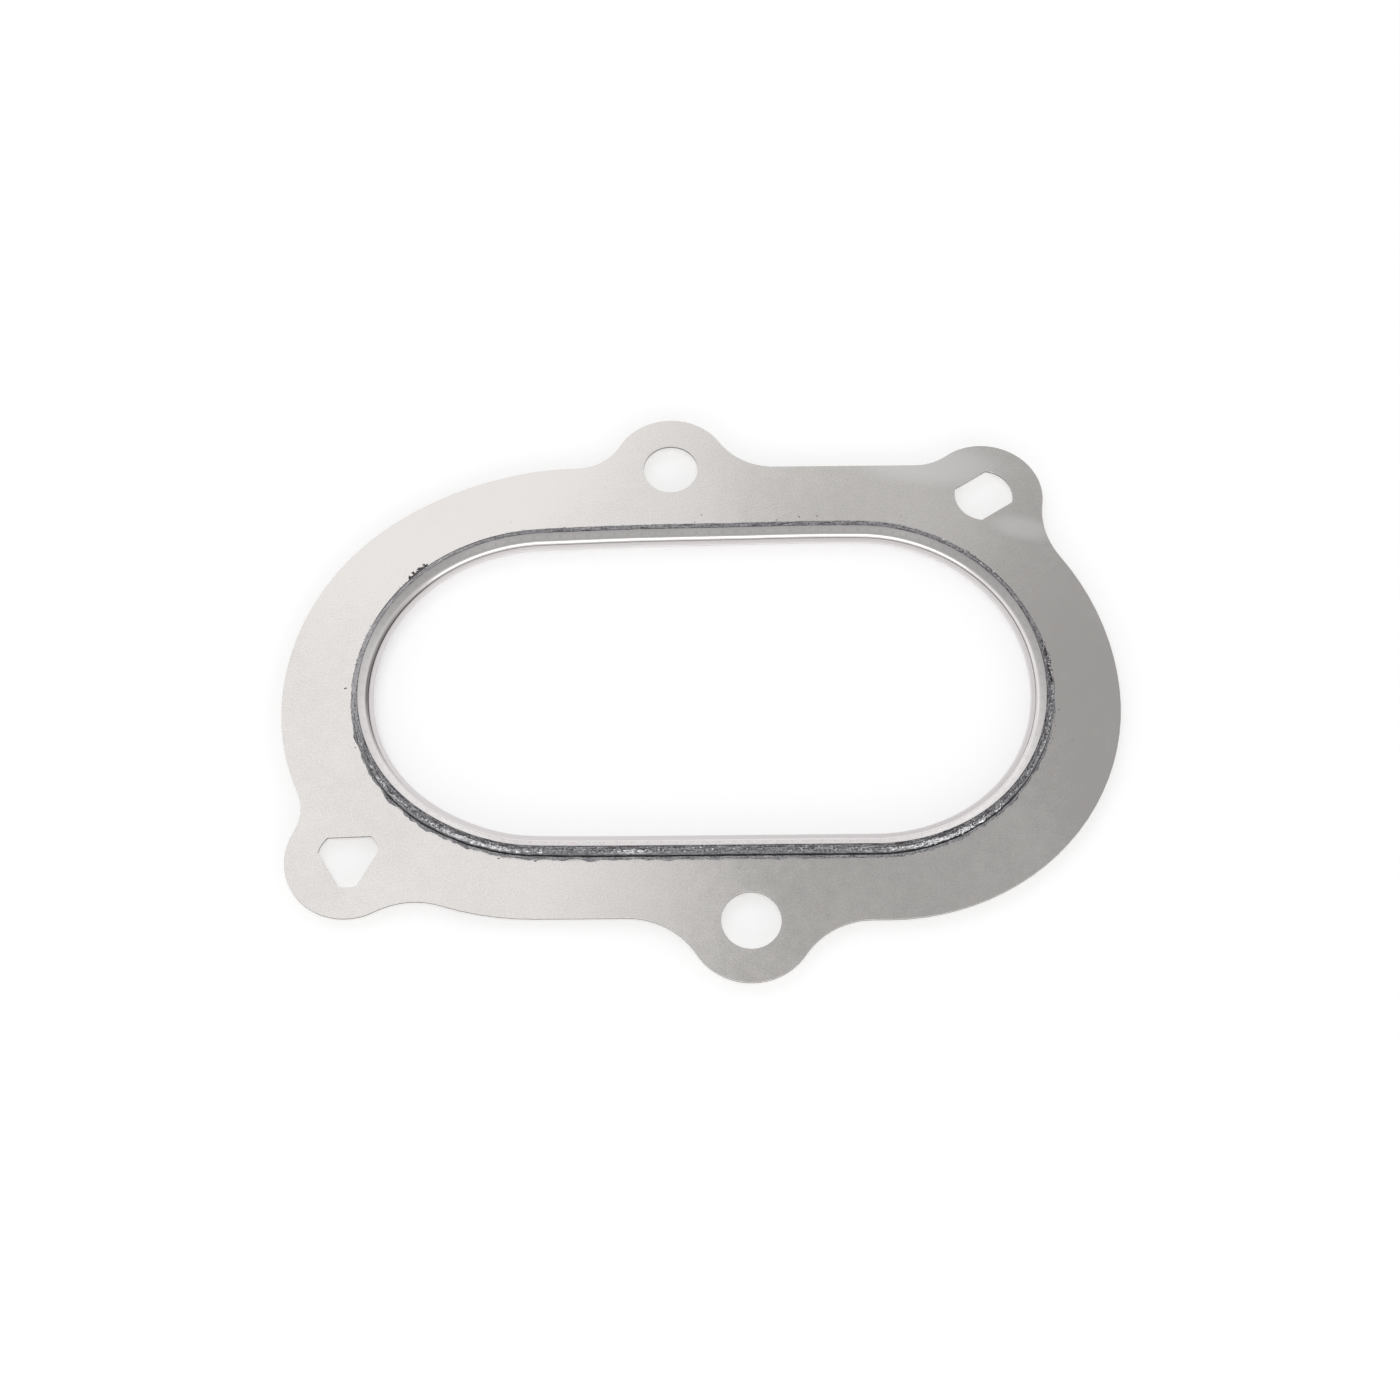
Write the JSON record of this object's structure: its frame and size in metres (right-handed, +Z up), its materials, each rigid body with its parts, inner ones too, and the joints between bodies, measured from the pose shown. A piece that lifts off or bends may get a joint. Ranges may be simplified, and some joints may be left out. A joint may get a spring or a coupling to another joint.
{
  "type": "exhaust manifold gasket",
  "caption": "Racetrack-shaped exhaust gasket: a thin stainless plate with bolt ears round a spiral-wound sealing ring of steel strip and graphite.",
  "frame": {"origin": "centre of the racetrack opening, in the middle plane of the carrier plate", "axes": "+X along the long way of the opening towards the ear with two flats, +Y towards the straight top edge, +Z up out of the plate"},
  "size_m": [0.1464, 0.1101, 0.0042],
  "materials": {
    "stainless_plate": "satin cold-rolled sheet",
    "stainless_strip": "bright rolled strip",
    "graphite": "pressed flexible graphite, torn at its edge"
  },
  "bodies": {
    "root": {"carrier_plate": "stainless_plate", "winding_strip": "stainless_strip", "graphite_filler": "graphite"}
  },
  "joints": []
}
